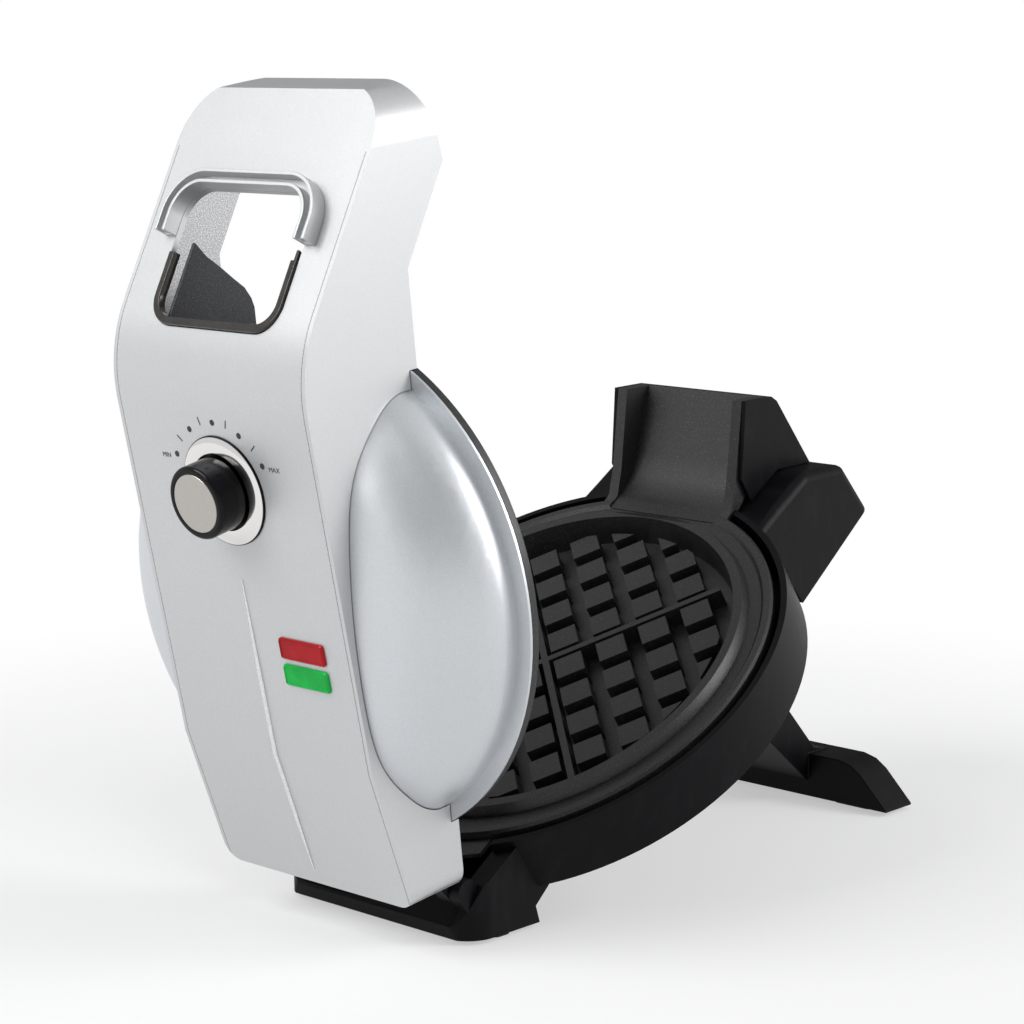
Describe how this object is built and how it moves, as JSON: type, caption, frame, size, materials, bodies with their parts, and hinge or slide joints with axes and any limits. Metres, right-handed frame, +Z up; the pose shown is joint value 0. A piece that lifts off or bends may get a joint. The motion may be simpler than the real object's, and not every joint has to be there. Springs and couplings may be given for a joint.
{
  "type": "waffle maker",
  "caption": "Upright flip waffle maker: a leaning round base with a pouring chute, and a domed lid with a centre strip, a pour-in window, a heat dial and two lamps.",
  "frame": {"origin": "middle of the footprint of the open machine, on the table", "axes": "+Z up, the lid's front face towards -Y, X across the machine along the hinge"},
  "size_m": [0.2246, 0.3918, 0.3474],
  "materials": {
    "black_plastic": "satin moulded black",
    "silver_plastic": "satin silver paint on moulded plastic",
    "silver_pan": "satin silver paint on pressed steel",
    "coated_plate": "charcoal non-stick coating on cast aluminium",
    "smoked_trim": "smoky gloss",
    "guide_coat": "charcoal non-stick coating",
    "bezel_chrome": "polished",
    "knob_black": "gloss black",
    "cap_steel": "spun",
    "steel": "bright steel",
    "shield_alu": "bare sheet",
    "rubber_black": "matt rubber",
    "red_clear": "clear red lens",
    "green_clear": "clear green lens",
    "board_green": "circuit board",
    "terminal_white": "off-white ceramic-like plastic"
  },
  "bodies": {
    "base": {"base_housing": "black_plastic", "bottom_cover": "black_plastic", "cover_screws": "steel", "lower_plate": "coated_plate", "chute_shroud": "black_plastic", "rear_block": "black_plastic", "cord_gland": "rubber_black", "rear_leg": "black_plastic", "leg_screws": "steel", "foot_pad_front_left": "rubber_black", "foot_pad_front_right": "rubber_black", "foot_pad_rear_left": "rubber_black", "foot_pad_rear_right": "rubber_black", "hinge_pin_left": "steel", "hinge_pin_right": "steel", "lower_heater": "steel", "lower_heat_shield": "shield_alu", "thermal_fuse": "steel", "terminal_block": "terminal_white"},
    "lid": {"lid_shell": "silver_plastic", "lid_dome": "silver_pan", "upper_plate": "coated_plate", "upper_heater": "steel", "upper_heat_shield": "shield_alu", "hinge_bracket": "steel", "window_trim": "smoked_trim", "window_hood": "silver_plastic", "batter_guide": "guide_coat", "dial_bezel": "bezel_chrome", "thermostat": "steel", "red_lens": "red_clear", "green_lens": "green_clear", "lamp_board": "board_green"},
    "dial": {"knob": "knob_black", "knob_cap": "cap_steel", "thermostat_shaft": "steel"}
  },
  "joints": [
    {"name": "lid_hinge", "type": "hinge", "parent": "base", "child": "lid", "pos_m": [0, -0.09724, 0.0226], "axis": [1, 0, 0], "range_deg": [-62.8, 0]},
    {"name": "dial_turn", "type": "hinge", "parent": "lid", "child": "dial", "pos_m": [0, -0.17769, 0.19085], "axis": [0, 0.9757, 0.219], "range_deg": [0, 125]}
  ]
}
